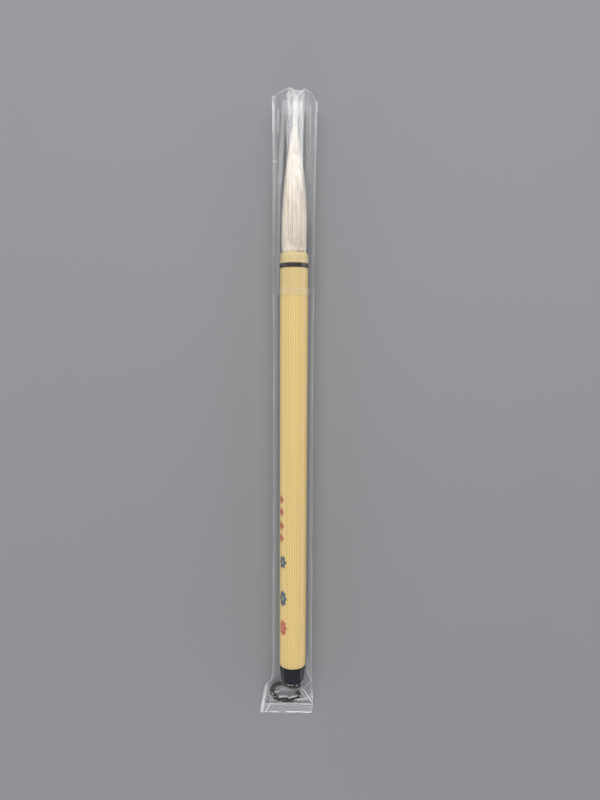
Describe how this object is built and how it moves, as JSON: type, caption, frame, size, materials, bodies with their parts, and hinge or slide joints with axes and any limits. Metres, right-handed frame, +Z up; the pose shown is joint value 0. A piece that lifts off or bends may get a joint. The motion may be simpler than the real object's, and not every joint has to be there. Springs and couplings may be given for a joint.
{
  "type": "calligraphy brush",
  "caption": "Straight ribbed calligraphy brush with a long tapered hair tuft, a clear pull-off cap, a black end plug, a cord hanging loop and a clear film sleeve.",
  "frame": {"origin": "on the flat underside of the film sleeve, straight below the brush's axis and near the middle of the sleeve's length", "axes": "+Y along the brush's axis towards the hair's point, +Z up from the surface it lies on, +X to the right of a viewer who looks along +Y"},
  "size_m": [0.0244, 0.2748, 0.0164],
  "materials": {
    "cream_ribbed_plastic": "satin, fine ribs along the length",
    "cream_collar_plastic": "satin",
    "black_gloss_plastic": "gloss",
    "white_goat_hair": "soft white hair",
    "stiff_core_hair": "stiff tan hair",
    "pale_thread": "wound thread",
    "amber_glue": "hard glue",
    "black_end_plastic": "satin black",
    "maroon_cord": "twisted dark maroon cord",
    "clear_cap_plastic": "clear, glossy",
    "clear_film": "clear crinkled film"
  },
  "bodies": {
    "brush": {"handle_tube": "cream_ribbed_plastic", "hair_collar": "cream_collar_plastic", "black_ring": "black_gloss_plastic", "outer_hair": "white_goat_hair", "core_hair": "stiff_core_hair", "root_binding": "pale_thread", "root_glue": "amber_glue", "end_plug": "black_end_plastic", "loop_knot": "maroon_cord", "hanging_loop": "maroon_cord"},
    "cap": {"clear_cap": "clear_cap_plastic"},
    "sleeve": {"film_sleeve": "clear_film"}
  },
  "joints": [
    {"name": "cap_slide", "type": "slide", "parent": "brush", "child": "cap", "axis": [0, 1, 0], "range_m": [0, 0.085]},
    {"name": "sleeve_slide", "type": "slide", "parent": "brush", "child": "sleeve", "axis": [0, -1, 0], "range_m": [0, 0.275], "deforming": ["hanging_loop"]}
  ]
}
